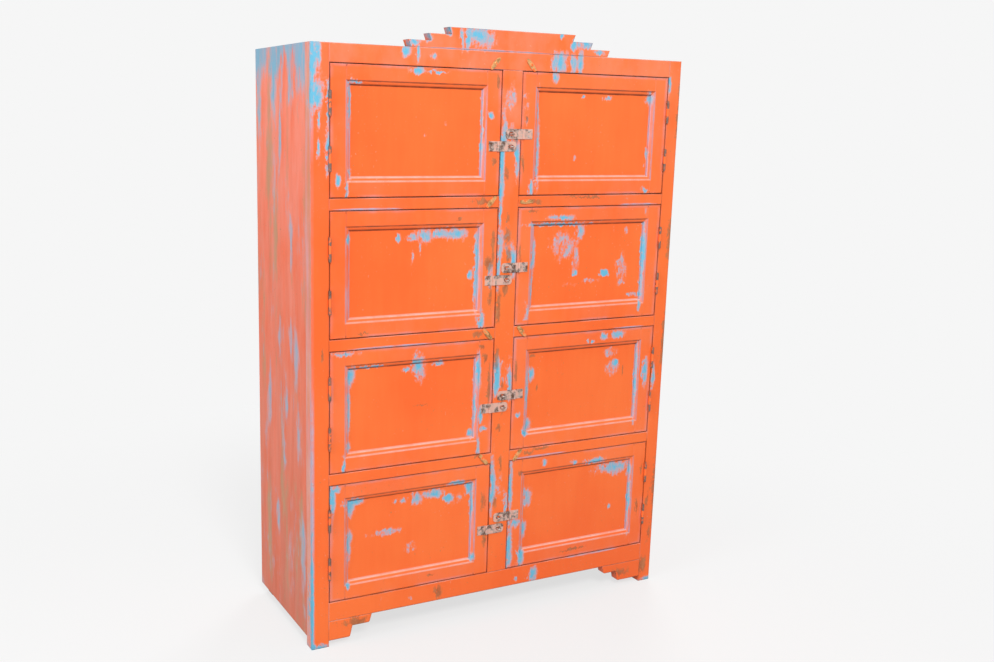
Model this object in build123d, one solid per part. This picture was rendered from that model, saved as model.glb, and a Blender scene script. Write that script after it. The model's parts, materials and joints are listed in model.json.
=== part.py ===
from build123d import *
import os

# Painted wooden locker cupboard: two columns of four inset frame-and-panel doors, each with a pair of
# butt hinges, a hasp over a wire staple and a turn button. Millimetres, +Z up, the front faces -Y.
# The model is drawn with the front of the posts at Y = 0 and moved at the end, so that the origin lies
# on the floor, under the middle of the whole.

# Case
case_width = 1100.0
case_depth = 414.0
left_post_face = 48.0
right_post_face = 39.0
centre_stile_face = 59.0
opening_height = 322.0
top_rail_height = 45.0
mid_rail_height = 29.5
bottom_rail_height = 52.5
bottom_rail_clearance = 71.0
row_names = ("top", "upper", "lower", "bottom")
column_names = ("left", "right")

# Timber sections
front_post_depth = 36.0
rear_post_face = 45.0
rear_post_depth = 36.0
centre_stile_depth = 32.0
rail_depth = 26.0
side_board_thickness = 16.0
side_board_clearance = 25.0
side_boards_across = 4
back_board_thickness = 12.0
back_boards_across = 8
top_board_thickness = 16.0
top_boards_across = 4
board_shrinkage = 0.6
partition_thickness = 22.0
shelf_thickness = 14.0
shelf_housing = 5.0
bearer_face = 22.0
bearer_height = 24.0

# Crest board on the top rail: stacked steps with undercut ends
crest_tiers = 3
crest_reach = 300.0
crest_step = 56.0
crest_tier_height = 17.5
crest_undercut = 7.0
crest_thickness = 32.0

# Foot brackets under the bottom rail
left_bracket_reach = 123.0
left_bracket_toe = 67.0
right_bracket_reach = 139.0
right_bracket_toe = 88.0
bracket_upper_drop = 23.5
bracket_floor_clearance = 17.0
bracket_undercut = 7.0
bracket_nose_radius = 5.0
bracket_thickness = 26.0

# Doors
door_gap = 2.0
door_setback = 1.0
door_thickness = 22.0
door_stile_face = 43.0
door_rail_face = 38.5
moulding_width = 10.0
moulding_quirk = 1.4
moulding_drop = 5.0
panel_setback = 8.4
panel_thickness = 8.0
panel_groove = 8.0
panel_play = 1.0

# Butt hinges, two to a door
hinge_inset = 95.0
hinge_height = 60.0
hinge_leaf_depth = 20.0
hinge_leaf_thickness = 1.8
hinge_knuckles = 3
hinge_knuckle_radius = 3.4
hinge_pin_radius = 1.6
hinge_pin_tip = 1.2

# Hasps
left_hasp_height = 129.0
right_hasp_height = 161.0
hasp_width = 26.0
hasp_thickness = 1.6
hasp_inset = 7.0
hasp_leaf_length = 27.0
hasp_knuckles = 3
hasp_barrel_radius = 3.0
hasp_pin_radius = 1.3
hasp_tail = 16.5
hasp_corner_radius = 9.0
hasp_slot_height = 8.5
hasp_slot_play = 1.5
strap_standoff = 0.4

# Wire staples in the centre stile
staple_wire_radius = 1.75
staple_width = 13.0
staple_proud = 14.0
staple_root = 14.0

# Turn buttons on the rail above each door
button_length = 40.0
button_waist = 13.0
button_tip_radius = 4.5
button_thickness = 2.5
button_inset = 24.5
button_screw_radius = 2.0
button_screw_root = 16.0
button_head_radius = 4.2
button_head_height = 2.4
button_head_rounding = 1.4
button_slot_width = 1.0
button_slot_depth = 0.9
button_tilts = {
    ("left", "top"): -48.0,
    ("left", "upper"): -46.0,
    ("left", "lower"): 48.0,
    ("left", "bottom"): 50.0,
    ("right", "top"): -48.0,
    ("right", "upper"): 3.0,
    ("right", "lower"): -48.0,
    ("right", "bottom"): 50.0,
}

# Fits
running_clearance = 0.06
root_clearance = 0.05
axial_clearance = 0.2
seat_clearance = 0.3
notch_clearance = 0.4
overrun = 1.0

# Places that follow from the sizes above
left_x = -case_width / 2
right_x = case_width / 2
opening_width = (case_width - left_post_face - centre_stile_face - right_post_face) / 2
half_width = opening_width / 2
half_height = opening_height / 2
stile_left_x = left_x + left_post_face + opening_width
stile_right_x = stile_left_x + centre_stile_face
stile_x = (stile_left_x + stile_right_x) / 2
bottom_rail_top = bottom_rail_clearance + bottom_rail_height
row_pitch = opening_height + mid_rail_height
rows = len(row_names)
case_height = bottom_rail_top + rows * opening_height + (rows - 1) * mid_rail_height + top_rail_height
top_underside = case_height - top_board_thickness
inner_left_x = left_x + side_board_thickness
inner_right_x = right_x - side_board_thickness
back_y = case_depth - back_board_thickness
opening_x = {
    "left": left_x + left_post_face + half_width,
    "right": stile_right_x + half_width,
}
opening_bottom = {name: bottom_rail_top + (rows - 1 - row) * row_pitch for row, name in enumerate(row_names)}
hasp_height = {"left": left_hasp_height, "right": right_hasp_height}
openings = [(column, row) for column in column_names for row in row_names]

# Places inside one opening, measured from its middle on the front plane, with the hinges on the -X side
door_width = opening_width - 2 * door_gap
door_height = opening_height - 2 * door_gap
door_hinge_x = -half_width + door_gap
door_lock_x = half_width - door_gap
pin_x = -half_width + door_gap / 2
pin_y = -(hinge_knuckle_radius + seat_clearance)
hasp_axis_x = door_lock_x - hasp_inset
hasp_axis_y = door_setback - hasp_barrel_radius - seat_clearance
staple_x = half_width + centre_stile_face / 2
hinge_heights = (half_height - hinge_inset, hinge_inset - half_height)


def block(x0, x1, y0, y1, z0, z1):
    """Board between the given faces."""
    corner = (Align.MIN, Align.MIN, Align.MIN)
    return Pos(x0, y0, z0) * Box(x1 - x0, y1 - y0, z1 - z0, align=corner)


def upright_rod(x, y, z0, z1, radius):
    """Round bar along Z."""
    return Pos(x, y, z0) * Cylinder(radius, z1 - z0, align=(Align.CENTER, Align.CENTER, Align.MIN))


def level_rod(x, z, y0, y1, radius):
    """Round bar along Y."""
    bar = Cylinder(radius, y1 - y0, align=(Align.CENTER, Align.CENTER, Align.MIN))
    return Pos(x, y0, z) * Rot(X=-90) * bar


def fretted(face, y0, y1):
    """Outline drawn in X and Z, cut out of stuff that lies between y0 and y1."""
    return Pos(0, y0, 0) * extrude(Plane.XZ * face, amount=y0 - y1)


def outline(points):
    """Flat face inside a closed run of straight edges."""
    return make_face(Polyline(*points, close=True))


def handed(shape, column):
    """The right column is the mirror image of the left one."""
    return shape if column == "left" else mirror(shape, about=Plane.YZ)


def in_opening(shape, column, row):
    """Places a piece that was drawn about the middle of an opening."""
    place = Pos(opening_x[column], 0, opening_bottom[row] + half_height)
    return place * handed(shape, column)


def planks(start, end, count):
    """Edges of equal boards with a shrinkage gap between them."""
    width = (end - start - (count - 1) * board_shrinkage) / count
    starts = [start + n * (width + board_shrinkage) for n in range(count)]
    return [(edge, edge + width) for edge in starts]


def spans(height, count, taken):
    """Lengths of the knuckles that one leaf takes, of a barrel shared by two leaves."""
    pitch = height / count
    starts = [n * pitch - height / 2 for n in range(count) if n % 2 == taken]
    return [(start + axial_clearance / 2, start + pitch - axial_clearance / 2) for start in starts]


# Case timbers
def front_posts():
    """Full-height front posts, before their hinge mortises are cut."""
    left = block(left_x, left_x + left_post_face, 0, front_post_depth, 0, case_height)
    right = block(right_x - right_post_face, right_x, 0, front_post_depth, 0, case_height)
    return {"left": left, "right": right}


def rear_posts():
    """Rear posts inside the corners, under the top boards."""
    front = back_y - rear_post_depth
    left = block(inner_left_x, inner_left_x + rear_post_face, front, back_y, 0, top_underside)
    right = block(inner_right_x - rear_post_face, inner_right_x, front, back_y, 0, top_underside)
    return [left, right]


def hinge_mortise(edge, outward, front):
    """Sinking for one hinge leaf, from the edge of a timber outward into its wood."""
    x0, x1 = sorted((edge, edge + outward * hinge_leaf_thickness))
    return block(x0, x1, front - overrun, hinge_leaf_depth, -hinge_height / 2, hinge_height / 2)


def mortised_post(post, column):
    """Front post with the sinkings for its column's hinges."""
    sinking = hinge_mortise(-half_width, -1, 0)
    for row in row_names:
        for height in hinge_heights:
            post -= in_opening(Pos(0, 0, height) * sinking, column, row)
    return post


def button_pivot():
    """Place of the turn button's screw on the front plane of an opening."""
    return half_width - button_inset, half_height + mid_rail_height / 2


def button_screw_hole():
    """Hole in a rail for the root of a turn button's screw."""
    x, z = button_pivot()
    return level_rod(x, z, -overrun, button_screw_root, button_screw_radius + root_clearance)


def across_rail(z0, z1):
    """Rail between the two front posts."""
    return block(left_x + left_post_face, right_x - right_post_face, 0, rail_depth, z0, z1)


def top_rail():
    """Top rail with the screw holes of the top buttons."""
    rail = across_rail(case_height - top_rail_height, case_height)
    for column in column_names:
        rail -= in_opening(button_screw_hole(), column, row_names[0])
    return rail


def mid_rail(column, row):
    """Short rail above the opening of the given row, with the button's screw hole."""
    rail = block(-half_width, half_width, 0, rail_depth, half_height, half_height + mid_rail_height)
    return in_opening(rail - button_screw_hole(), column, row)


def centre_stile():
    """Stile between the columns, drilled for the legs of the staples."""
    stile = block(
        stile_left_x, stile_right_x, 0, centre_stile_depth, bottom_rail_top, case_height - top_rail_height
    )
    leg = staple_width / 2 - staple_wire_radius
    for column, row in openings:
        z = opening_bottom[row] + hasp_height[column]
        for x in (stile_x - leg, stile_x + leg):
            stile -= level_rod(x, z, -overrun, staple_root, staple_wire_radius + root_clearance)
    return stile


def crest_board():
    """Crest of stacked steps, each wider at its top than at its foot."""
    right_edge = []
    for tier in range(crest_tiers):
        reach = crest_reach - tier * crest_step
        foot = case_height + tier * crest_tier_height
        right_edge += [(stile_x + reach - crest_undercut, foot), (stile_x + reach, foot + crest_tier_height)]
    left_edge = [(2 * stile_x - x, z) for x, z in reversed(right_edge)]
    return fretted(outline(right_edge + left_edge), 0, crest_thickness)


def foot_bracket(post_x, toward, reach, toe):
    """Stepped bracket in the corner of a post and the bottom rail; toward is the way it points."""
    step = bottom_rail_clearance - bracket_upper_drop
    edge = [
        (0, bottom_rail_clearance),
        (reach, bottom_rail_clearance),
        (reach - bracket_undercut, step),
        (toe, step),
        (toe - bracket_undercut, bracket_floor_clearance),
        (0, bracket_floor_clearance),
    ]
    noses = [(reach - bracket_undercut, step), (toe - bracket_undercut, bracket_floor_clearance)]
    face = outline([(post_x + toward * x, z) for x, z in edge])
    corners = [face.vertices().sort_by_distance((post_x + toward * x, z, 0))[0] for x, z in noses]
    return fretted(fillet(corners, bracket_nose_radius), 0, bracket_thickness)


def foot_brackets():
    """Bracket beside each front post."""
    left = foot_bracket(left_x + left_post_face, 1, left_bracket_reach, left_bracket_toe)
    right = foot_bracket(right_x - right_post_face, -1, right_bracket_reach, right_bracket_toe)
    return [left, right]


def side_boards(x0, x1):
    """Upright boards from the front post to the back of the case."""
    edges = planks(front_post_depth, case_depth, side_boards_across)
    return [block(x0, x1, y0, y1, side_board_clearance, case_height) for y0, y1 in edges]


def back_boards():
    """Upright boards between the sides, behind the shelves."""
    edges = planks(inner_left_x, inner_right_x, back_boards_across)
    return [block(x0, x1, back_y, case_depth, bottom_rail_clearance, case_height) for x0, x1 in edges]


def top_boards(posts):
    """Boards of the top, level with the top rail and notched round the front posts."""
    edges = planks(rail_depth, back_y, top_boards_across)
    boards = [block(inner_left_x, inner_right_x, y0, y1, top_underside, case_height) for y0, y1 in edges]
    return [board - posts["left"] - posts["right"] for board in boards]


def bearers():
    """Battens on the sides that carry the shelves and the top."""
    undersides = [opening_bottom[row] - shelf_thickness for row in row_names] + [top_underside]
    y0, y1 = front_post_depth, back_y - rear_post_depth
    battens = []
    for z1 in undersides:
        z0 = z1 - bearer_height
        battens.append(block(inner_left_x, inner_left_x + bearer_face, y0, y1, z0, z1))
        battens.append(block(inner_right_x - bearer_face, inner_right_x, y0, y1, z0, z1))
    return battens


def shelf(column, row, uprights):
    """Shelf board, notched round the uprights and housed in the partition."""
    z1 = opening_bottom[row]
    z0 = z1 - shelf_thickness
    housed = partition_thickness / 2 - shelf_housing
    x0, x1 = (inner_left_x, stile_x - housed) if column == "left" else (stile_x + housed, inner_right_x)
    board = block(x0, x1, rail_depth, back_y, z0, z1)
    for upright in uprights:
        board -= upright
    return board


def centre_partition(shelves, stile):
    """Partition behind the centre stile, with a housing for each shelf."""
    x0, x1 = stile_x - partition_thickness / 2, stile_x + partition_thickness / 2
    board = block(x0, x1, rail_depth, back_y, bottom_rail_clearance, top_underside) - stile
    for shelf_board in shelves:
        board -= shelf_board
    return board


# Doors
def frame_section(face_width):
    """Section of a door timber: X from its outer edge inward, Y back from its face."""
    inner = face_width + moulding_width
    groove = inner - panel_groove
    moulding_foot = moulding_quirk + moulding_drop
    panel_back = panel_setback + panel_thickness
    quirk_foot = (face_width, moulding_quirk)
    face = Polyline((inner, door_thickness), (0, door_thickness), (0, 0), (face_width, 0), quirk_foot)
    moulding = TangentArc(quirk_foot, (inner, moulding_foot), tangent=(1, 0))
    groove_front = (groove, panel_setback)
    lip = Polyline((inner, moulding_foot), (inner, panel_setback), groove_front)
    back = Polyline(groove_front, (groove, panel_back), (inner, panel_back), (inner, door_thickness))
    return make_face([face, moulding, lip, back])


def stile_region():
    """Front outline of a door stile: square to the rails, its moulding mitred."""
    inner = door_stile_face + moulding_width
    shoulder = door_rail_face + moulding_width
    return outline([
        (0, 0), (door_stile_face, 0), (door_stile_face, door_rail_face), (inner, shoulder),
        (inner, door_height - shoulder), (door_stile_face, door_height - door_rail_face),
        (door_stile_face, door_height), (0, door_height),
    ])


def rail_region():
    """Front outline of a door rail between the stiles, its moulding mitred."""
    mitre = door_stile_face + moulding_width
    inner = door_rail_face + moulding_width
    far_stile = door_width - door_stile_face
    return outline([
        (door_stile_face, 0), (far_stile, 0), (far_stile, door_rail_face),
        (door_width - mitre, inner), (mitre, inner), (door_stile_face, door_rail_face),
    ])


def door_frame():
    """Hinge stile, lock stile, top rail and bottom rail of a door."""
    corner = Pos(door_hinge_x, door_setback, -door_height / 2)
    stile = extrude(frame_section(door_stile_face), amount=door_height)
    stile = corner * (stile & fretted(stile_region(), -overrun, door_thickness + overrun))
    laid = Pos(door_width, 0, 0) * Rot(Y=-90) * extrude(frame_section(door_rail_face), amount=door_width)
    rail = corner * (laid & fretted(rail_region(), -overrun, door_thickness + overrun))
    hinge_stile = stile
    for height in hinge_heights:
        hinge_stile -= Pos(0, 0, height) * hinge_mortise(door_hinge_x, 1, door_setback)
    return [hinge_stile, mirror(stile, about=Plane.YZ), mirror(rail, about=Plane.XY), rail]


def door_panel():
    """Flat panel, loose at its edges in the grooves of the frame."""
    reach_x = door_width / 2 - door_stile_face - moulding_width + panel_groove - panel_play
    reach_z = door_height / 2 - door_rail_face - moulding_width + panel_groove - panel_play
    front = door_setback + panel_setback
    return block(-reach_x, reach_x, front, front + panel_thickness, -reach_z, reach_z)


# Hinges
def hinge_leaf(edge, inward, taken):
    """Hinge leaf let into a timber's edge, with the knuckles that it takes."""
    x0, x1 = sorted((edge, edge + inward * hinge_leaf_thickness))
    front = pin_y + hinge_knuckle_radius + notch_clearance
    leaf = block(x0, x1, front, hinge_leaf_depth, -hinge_height / 2, hinge_height / 2)
    for z0, z1 in spans(hinge_height, hinge_knuckles, taken):
        leaf += block(x0, x1, pin_y, front, z0, z1)
        leaf += upright_rod(pin_x, pin_y, z0, z1, hinge_knuckle_radius)
    bore = hinge_pin_radius + running_clearance
    return leaf - upright_rod(pin_x, pin_y, -hinge_height, hinge_height, bore)


def hinge_pin():
    """Pin through the knuckles, its ends just proud of them."""
    reach = hinge_height / 2 + hinge_pin_tip
    return upright_rod(pin_x, pin_y, -reach, reach, hinge_pin_radius)


def at_hinges(piece):
    """Copies of a hinge piece at the heights of a door's two hinges."""
    return [Pos(0, 0, height) * piece for height in hinge_heights]


# Hasps
def hasp_barrel(taken):
    """Knuckles on the hasp's axis."""
    return [
        upright_rod(hasp_axis_x, hasp_axis_y, z0, z1, hasp_barrel_radius)
        for z0, z1 in spans(hasp_width, hasp_knuckles, taken)
    ]


def hasp_bore():
    """Hole through the hasp's knuckles."""
    bore = hasp_pin_radius + running_clearance
    return upright_rod(hasp_axis_x, hasp_axis_y, -hasp_width, hasp_width, bore)


def hasp_leaf():
    """Fixed leaf on the face of the door."""
    end = hasp_axis_x - hasp_barrel_radius - notch_clearance
    y0, y1 = door_setback - hasp_thickness, door_setback
    leaf = block(hasp_axis_x - hasp_leaf_length, end, y0, y1, -hasp_width / 2, hasp_width / 2)
    for z0, z1 in spans(hasp_width, hasp_knuckles, 0):
        leaf += block(end, hasp_axis_x, y0, y1, z0, z1)
    for knuckle in hasp_barrel(0):
        leaf += knuckle
    return leaf - hasp_bore()


def hasp_pin():
    """Pin of the hasp, as long as its barrel."""
    return upright_rod(hasp_axis_x, hasp_axis_y, -hasp_width / 2, hasp_width / 2, hasp_pin_radius)


def hasp_strap():
    """Swinging strap: rounded end, and a slot that passes over the staple."""
    start = hasp_axis_x + hasp_barrel_radius + notch_clearance
    end = staple_x + hasp_tail
    y0, y1 = -strap_standoff - hasp_thickness, -strap_standoff
    plate = Pos((start + end) / 2, 0) * Rectangle(end - start, hasp_width)
    plate = fillet(plate.vertices().group_by(Axis.X)[-1], hasp_corner_radius)
    slot = SlotOverall(staple_width + 2 * hasp_slot_play, hasp_slot_height)
    strap = fretted(plate - Pos(staple_x, 0) * slot, y0, y1)
    for z0, z1 in spans(hasp_width, hasp_knuckles, 1):
        strap += block(hasp_axis_x, start, y0, y1, z0, z1)
    for knuckle in hasp_barrel(1):
        strap += knuckle
    return strap - hasp_bore()


def staple():
    """Bent wire with two legs driven into the centre stile."""
    leg = staple_width / 2 - staple_wire_radius
    bend_y = -(staple_proud - staple_width / 2)
    left_root, right_root = (staple_x - leg, staple_root, 0), (staple_x + leg, staple_root, 0)
    left_bend, right_bend = (staple_x - leg, bend_y, 0), (staple_x + leg, bend_y, 0)
    path = Line(left_root, left_bend) + ThreePointArc(left_bend, (staple_x, bend_y - leg, 0), right_bend)
    path += Line(right_bend, right_root)
    section = Plane(origin=left_root, z_dir=(0, -1, 0)) * Circle(staple_wire_radius)
    return sweep(section, path=path)


def at_hasp(piece, column):
    """Moves a hasp piece to the height of its column's hasps."""
    return Pos(0, 0, hasp_height[column] - half_height) * piece


# Turn buttons
def turn_button(tilt):
    """Pointed oval button, turned about its screw."""
    x, z = button_pivot()
    tip = button_length / 2 - button_tip_radius
    rounds = Circle(button_waist / 2) + Pos(tip, 0) * Circle(button_tip_radius)
    rounds += Pos(-tip, 0) * Circle(button_tip_radius)
    plate = make_hull(rounds.edges()) - Circle(button_screw_radius + running_clearance)
    button = fretted(plate, -seat_clearance - button_thickness, -seat_clearance)
    return Pos(x, 0, z) * Rot(Y=tilt) * button


def button_screw():
    """Slotted round-head screw that the button turns on."""
    x, z = button_pivot()
    under_head = -seat_clearance - button_thickness - axial_clearance
    head = Cylinder(button_head_radius, button_head_height, align=(Align.CENTER, Align.CENTER, Align.MIN))
    head = fillet(head.edges().sort_by(Axis.Z)[-1], button_head_rounding)
    top = button_head_height
    half_slot = button_slot_width / 2
    reach = button_head_radius + overrun
    head -= block(-reach, reach, -half_slot, half_slot, top - button_slot_depth, top + overrun)
    head = Pos(x, under_head, z) * Rot(X=90) * head
    return head + level_rod(x, z, under_head, button_screw_root, button_screw_radius)


# Assembly
def group(solids):
    """One node that holds several separate solids."""
    return solids[0] if len(solids) == 1 else Compound(solids)


def case_nodes():
    """Nodes of the fixed case, with the fittings that stay on it."""
    posts = front_posts()
    rear = rear_posts()
    stile = centre_stile()
    shelves = [shelf(column, row, [posts[column], stile] + rear) for column, row in openings]
    post_leaves = at_hinges(hinge_leaf(-half_width, -1, 0))
    pins = at_hinges(hinge_pin())
    return {
        "front_left_post": [mortised_post(posts["left"], "left")],
        "front_right_post": [mortised_post(posts["right"], "right")],
        "rear_posts": rear,
        "centre_stile": [stile],
        "top_rail": [top_rail()],
        "bottom_rail": [across_rail(bottom_rail_clearance, bottom_rail_top)],
        "mid_rails": [mid_rail(column, row) for column in column_names for row in row_names[1:]],
        "crest_board": [crest_board()],
        "foot_brackets": foot_brackets(),
        "left_side_boards": side_boards(left_x, inner_left_x),
        "right_side_boards": side_boards(inner_right_x, right_x),
        "back_boards": back_boards(),
        "top_boards": top_boards(posts),
        "shelf_bearers": bearers(),
        "shelf_boards": shelves,
        "centre_partition": [centre_partition(shelves, stile)],
        "hinge_frame_leaves": [in_opening(leaf, *place) for place in openings for leaf in post_leaves],
        "hinge_pins": [in_opening(pin, *place) for place in openings for pin in pins],
        "hasp_staples": [in_opening(at_hasp(staple(), column), column, row) for column, row in openings],
        "turn_button_screws": [in_opening(button_screw(), column, row) for column, row in openings],
    }


def door_nodes(column, row):
    """Nodes of one door, its hasp strap and its turn button."""
    door = row + "_" + column
    fittings = at_hinges(hinge_leaf(door_hinge_x, 1, 1))
    fittings += [at_hasp(piece, column) for piece in (hasp_leaf(), hasp_pin())]
    pieces = {
        door + "_door_frame": door_frame(),
        door + "_door_panel": [door_panel()],
        door + "_door_fittings": fittings,
        door + "_hasp_strap": [at_hasp(hasp_strap(), column)],
        door + "_turn_button": [turn_button(button_tilts[column, row])],
    }
    return {name: [in_opening(solid, column, row) for solid in solids] for name, solids in pieces.items()}


nodes = case_nodes()
for column, row in openings:
    nodes.update(door_nodes(column, row))

set_down = Pos(0, (staple_proud - case_depth) / 2, 0)
os.makedirs("parts", exist_ok=True)
for name, solids in nodes.items():
    export_step(group([set_down * solid for solid in solids]), os.path.join("parts", name + ".step"))
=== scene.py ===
"""Painted locker cupboard: worn paint, old wood, small fixings, studio and camera."""
import json
import math

import bmesh
import bpy
import numpy as np
from bpy.props import FloatProperty, FloatVectorProperty, IntProperty, PointerProperty
from mathutils import Euler, Matrix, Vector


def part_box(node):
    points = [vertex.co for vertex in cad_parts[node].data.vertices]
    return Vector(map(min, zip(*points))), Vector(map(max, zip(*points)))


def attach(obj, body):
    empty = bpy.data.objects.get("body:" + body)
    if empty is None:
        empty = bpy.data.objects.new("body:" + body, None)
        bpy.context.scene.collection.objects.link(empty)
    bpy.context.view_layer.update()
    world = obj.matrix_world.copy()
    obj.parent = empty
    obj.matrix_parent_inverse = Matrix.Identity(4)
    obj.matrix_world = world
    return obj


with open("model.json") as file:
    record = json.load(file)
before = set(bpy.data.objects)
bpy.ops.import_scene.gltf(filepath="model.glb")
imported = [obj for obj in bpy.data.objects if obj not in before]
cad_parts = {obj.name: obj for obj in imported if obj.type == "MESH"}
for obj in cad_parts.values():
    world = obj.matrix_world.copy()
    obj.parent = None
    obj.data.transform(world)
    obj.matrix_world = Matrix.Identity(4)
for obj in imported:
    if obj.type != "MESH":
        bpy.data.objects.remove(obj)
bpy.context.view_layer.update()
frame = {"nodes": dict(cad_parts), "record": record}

bl_info = {
    "name": "Painted locker cupboard",
    "version": (1, 0, 0),
    "blender": (4, 5, 0),
    "location": "View3D > Sidebar > Cupboard",
    "description": "Dresses the locker cupboard with worn paint, old wood and small fixings",
    "category": "Object",
}

MM = 0.001
DOORS = [row + "_" + column for column in ("left", "right") for row in ("top", "upper", "lower", "bottom")]
JOINTS = {joint["name"]: joint for joint in frame["record"]["behaviour"]["joints"]}
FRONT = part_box("front_left_post")[0].y
HALF_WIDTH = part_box("front_right_post")[1].x

# How far a patch of wear reaches into the timber, in millimetres, and a distance outside any patch
PATCH_DEPTH = 25
FAR_OUTSIDE = 9.0


def linear(code):
    """sRGB hex code as linear red, green and blue."""
    values = np.array([int(code[start:start + 2], 16) for start in (1, 3, 5)]) / 255
    curve = ((values + 0.055) / 1.055) ** 2.4
    return tuple(np.where(values <= 0.04045, values / 12.92, curve).tolist())


def colour(name, description, code):
    """Colour property whose default is written as a hex code."""
    return FloatVectorProperty(
        name=name, description=description, default=linear(code), size=3, min=0, max=1, subtype="COLOR"
    )


def length(name, description, millimetres):
    """Length property whose default is written in millimetres."""
    return FloatProperty(name=name, description=description, default=millimetres * MM, unit="LENGTH")


def power(name, description, watts):
    """Power property of a lamp, in watts."""
    return FloatProperty(name=name, description=description, default=watts, unit="POWER")


def angle(name, description, degrees):
    """Angle property whose default is written in degrees."""
    return FloatProperty(name=name, description=description, default=math.radians(degrees), subtype="ANGLE")


def plain(name, description, value):
    """Plain number."""
    return FloatProperty(name=name, description=description, default=value)


def whole(name, description, number):
    """Whole number."""
    return IntProperty(name=name, description=description, default=number)


class CupboardPaint(bpy.types.PropertyGroup):
    """Layers of paint on the timbers, and how they have worn."""

    top_coat: colour("Top coat", "Orange oil paint", "#F27030")
    top_coat_deep: colour("Deep top coat", "Orange where the coat is thick", "#EE6425")
    thin_coat: colour("Thin coat", "Orange rubbed thin over the blue", "#E2937C")
    # Pale coat: wear on edges that face up, also a painted highlight there and on the bottom rail's
    # moulding
    pale_coat: colour("Pale coat", "Orange rubbed almost through on edges that face up", "#EBB3A6")
    edge_coat: colour("Edge coat", "Orange worn to dull lilac on upright edges", "#B5A0B4")
    under_coat: colour("Under coat", "Older sky-blue paint", "#62B0CE")
    under_coat_grey: colour("Greyed under coat", "Blue paint gone dull", "#A4A7B6")
    bare: colour("Bare wood", "Wood where both coats are gone", "#A1764F")
    bare_dark: colour("Dark bare wood", "Dirty wood where both coats are gone", "#5A3A24")
    # Grime, also the colour of the painted shade in corners, under edges and in the gaps
    shade_and_grime_colour: colour("Grime", "Dirt in the corners", "#4A2012")
    bleached: colour("Bleached coat", "Orange on the sides, faded by the sun", "#F47049")
    bleached_pale: colour("Pale bleached coat", "Orange on the sides, faded to salmon", "#F48B74")
    # The dust colour is also a painted shade: it darkens the sides towards the floor
    dust: colour("Dust", "Faded coat under dust", "#B85A38")
    tan: colour("Tan", "Wood that shows through the faded coat", "#B08E68")
    smudge: colour("Smudge", "Blue that shows through the faded coat", "#A3AFC2")
    flake: length("Flake", "Size of the larger flakes", 34)
    ragged: length("Ragged edge", "Size of the nicks along a flake's edge", 12)
    nick: length("Nick", "Size of the small nicks and specks", 6)
    spell: length("Spell", "Length of a worn stretch of an edge", 110)
    brush: length("Brush mark", "Distance between brush marks, coarse enough to show", 18)
    cloud: length("Cloud", "Size of the slow changes of tone", 350)
    blot: length("Blot", "Width of the blots on the sides", 58)
    # The reach of the painted shade with grime in the corners
    corner_shade_and_grime: length("Hollow", "Reach of the grime in the corners", 14)
    edge: length("Worn edge", "Radius over which an edge is rubbed", 4)
    line: length("Worn line", "Half width of the worn lines along a moulding", 2.2)
    corner: length("Worn corner", "Width of the worn band on the left corner of the case", 8)
    calm: length("Calm height", "Height at which the left corner is rubbed least", 1000)
    calm_near: length("Calm reach", "Distance from the calm height up to which that holds", 260)
    calm_far: length("Rubbed reach", "Distance from the calm height at which it is rubbed in full", 420)
    haze_low: length("Haze start", "Height above which the case is rubbed thin all over", 1000)
    haze_high: length("Haze full", "Height at which that is at its most", 1500)
    stile_face: length("Stile face", "Flat face of a door's stiles", 43)
    rail_face: length("Rail face", "Flat face of a door's rails", 38.5)
    moulding: length("Moulding", "Width of the moulding round a panel", 10)


class CupboardWood(bpy.types.PropertyGroup):
    """Bare timber inside, behind and on top."""

    pale: colour("Pale grain", "Early wood", "#A07B55")
    dark: colour("Dark grain", "Late wood", "#5F4127")
    grey: colour("Weathered grey", "Dust and age on bare wood", "#8B7F72")
    grain: length("Grain width", "Distance across the grain between two dark lines", 9)
    stain: length("Stain", "Size of the dusty stains", 220)
    joint: length("Joint", "Half width of the dirt along a joint between boards", 3)
    half_shelf: length("Half shelf", "Half the thickness of a shelf", 7)
    top_inset: length("Top inset", "Distance of the highest nails below the back boards' top", 8)
    back_count: whole("Back boards", "Boards side by side in the back", 8)
    top_count: whole("Top boards", "Boards side by side in the top", 4)
    shelf_levels: whole("Shelf levels", "Heights at which the back is nailed to a shelf", 4)


class CupboardHardware(bpy.types.PropertyGroup):
    """Hinges, hasps, staples, buttons, screws and nails."""

    steel: colour("Steel", "Worn mild steel", "#B9ADA6")
    rust: colour("Rust", "Brown rust in the hollows", "#5E3A28")
    worn_coat: colour("Worn coat", "Orange paint rubbed thin on the hasps", "#D3A696")
    brass: colour("Brass", "Dull brass", "#E2AE74")
    tarnish: colour("Tarnish", "Dark tarnish on the brass", "#85582F")
    blot: length("Blot", "Size of the rust and paint blots", 13)
    grit: length("Grit", "Size of the pits in the metal, coarse enough to show", 2.2)
    screw_radius: length("Screw head radius", "Radius of the wood screws in the leaves", 3.6)
    screw_dome: length("Screw head height", "How far a head stands up", 0.9)
    hinge_dome: length("Sunk head height", "How far a sunk head stands up", 0.3)
    slot_width: length("Slot width", "Width of a screw's slot", 0.9)
    hasp_reach: length("Hasp screws", "Distance of a hasp leaf's screws from its pin", 16)
    hasp_spread: length("Hasp screw spread", "Half the distance between a hasp leaf's two screws", 6.5)
    hasp_face: length("Hasp face", "Distance of a hasp leaf's face behind its pin", 1.7)
    hinge_face: length("Hinge face", "Distance of a hinge leaf's face from its pin, across", 1.0)
    hinge_reach: length("Hinge screws", "Distance of a hinge leaf's screws behind its pin", 14.5)
    hinge_step: length("Hinge step", "Distance of a hinge from the middle of its door", 66)
    screw_step: length("Screw step", "Distance between the screws of a hinge leaf", 20)
    nail_radius: length("Nail head radius", "Radius of the nails in the boards", 3.0)
    nail_dome: length("Nail head height", "How far a nail's head stands up", 0.9)
    nail_scatter: length("Nail scatter", "How far the nails stray from their rows", 2)
    nails_seed: whole("Seed", "Start of the random turns of slots and nails", 7)


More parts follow.
